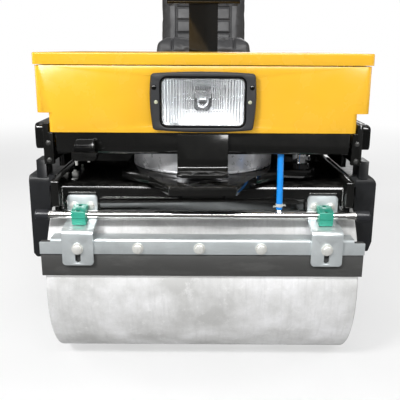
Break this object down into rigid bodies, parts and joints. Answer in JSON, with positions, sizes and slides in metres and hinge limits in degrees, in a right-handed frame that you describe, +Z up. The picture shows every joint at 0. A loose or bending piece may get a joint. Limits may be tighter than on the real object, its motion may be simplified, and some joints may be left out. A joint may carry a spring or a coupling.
{
  "type": "ride-on tandem road roller",
  "caption": "Small ride-on road roller with smooth steel drums; the front drum steers in a yoke on a slewing ring under a yellow hood.",
  "frame": {"origin": "on the ground midway between the drum axles, on the centre plane", "axes": "+Z up; the machine faces -Y; +X is towards the right of someone looking at its front"},
  "size_m": [0.8, 1.806, 1.1649],
  "materials": {
    "black_paint": "gloss",
    "yellow_paint": "gloss",
    "machined_steel": "machined",
    "black_plastic": "moulded",
    "clear_glass": "fluted",
    "mirror_metal": "polished",
    "wheel_plastic": "moulded",
    "engine_metal": "cast",
    "exhaust_steel": "heat-stained",
    "blue_hose": "smooth",
    "tank_plastic": "moulded",
    "seat_vinyl": "grained vinyl",
    "drum_steel": "bare ground steel",
    "chrome_rod": "polished",
    "stainless": "drawn tube",
    "zinc_plate": "zinc plated",
    "black_rubber": "moulded",
    "green_plastic": "moulded"
  },
  "bodies": {
    "root": {"side_plate_left": "black_paint", "side_plate_right": "black_paint", "front_deck": "black_paint", "footwell": "black_paint", "rear_deck": "black_paint", "member_brackets": "black_paint", "hose_bracket": "black_paint", "lock_bracket": "black_paint", "cylinder_bracket": "black_paint", "slewing_ring_outer": "machined_steel", "hood_body": "yellow_paint", "headlight_bezel": "black_plastic", "headlight_lens": "clear_glass", "headlight_reflector": "mirror_metal", "console": "black_paint", "steering_column": "black_paint", "travel_lever": "chrome_rod", "engine": "engine_metal", "exhaust": "exhaust_steel", "water_tank": "tank_plastic", "hose_upper": "blue_hose", "tow_hitch": "black_paint", "rear_sprinkler_pipe": "stainless", "rear_pipe_caps": "black_rubber", "rear_pipe_clamps": "green_plastic", "rear_scraper_brackets": "zinc_plate", "rear_scraper_channel": "zinc_plate", "rear_scraper_blade": "black_rubber"},
    "hood_lid": {"hood_lid": "yellow_paint"},
    "engine_hood": {"engine_cover": "yellow_paint", "seat_pan": "black_paint", "seat_cushion": "seat_vinyl", "seat_back": "seat_vinyl"},
    "steering_wheel": {"steering_wheel": "wheel_plastic"},
    "front_yoke": {"front_yoke": "black_paint", "slewing_ring_inner": "machined_steel", "hose_lower": "blue_hose", "front_sprinkler_pipe": "stainless", "front_pipe_caps": "black_rubber", "front_pipe_clamps": "green_plastic", "front_scraper_brackets": "zinc_plate", "front_scraper_channel": "zinc_plate", "front_scraper_blade": "black_rubber"},
    "front_drum": {"front_drum": "drum_steel"},
    "rear_drum": {"rear_drum": "drum_steel"},
    "cylinder_barrel": {"steering_barrel": "black_paint"},
    "cylinder_rod": {"steering_rod": "chrome_rod"}
  },
  "joints": [
    {"name": "steering", "type": "hinge", "parent": "root", "child": "front_yoke", "pos_m": [0, -0.62, 0.5], "axis": [0, 0, 1], "range_deg": [-20, 20]},
    {"name": "front_drum_spin", "type": "hinge", "parent": "front_yoke", "child": "front_drum", "pos_m": [0, -0.62, 0.213], "axis": [1, 0, 0], "continuous": true},
    {"name": "rear_drum_spin", "type": "hinge", "parent": "root", "child": "rear_drum", "pos_m": [0, 0.62, 0.213], "axis": [1, 0, 0], "continuous": true},
    {"name": "barrel_swing", "type": "hinge", "parent": "root", "child": "cylinder_barrel", "pos_m": [0.21, -0.37, 0.5], "axis": [0, 0, 1], "range_deg": [-12, 12]},
    {"name": "rod_slide", "type": "slide", "parent": "cylinder_barrel", "child": "cylinder_rod", "axis": [0.0676, -0.9977, 0], "range_m": [-0.08, 0.08]},
    {"name": "wheel_turn", "type": "hinge", "parent": "root", "child": "steering_wheel", "pos_m": [0, -0.15, 1.08], "axis": [0, 0.4226, 0.9063], "continuous": true},
    {"name": "lid_hinge", "type": "hinge", "parent": "root", "child": "hood_lid", "pos_m": [0, -0.313, 0.713], "axis": [-1, 0, 0], "range_deg": [0, 70]},
    {"name": "engine_hood_hinge", "type": "hinge", "parent": "root", "child": "engine_hood", "pos_m": [0, 0.827, 0.582], "axis": [-1, 0, 0], "range_deg": [0, 50]}
  ],
  "couplings": [
    {"joint": "barrel_swing", "follows": "steering", "ratio": 0.26895},
    {"joint": "rod_slide", "follows": "steering", "m_per_rad": -0.22526}
  ]
}
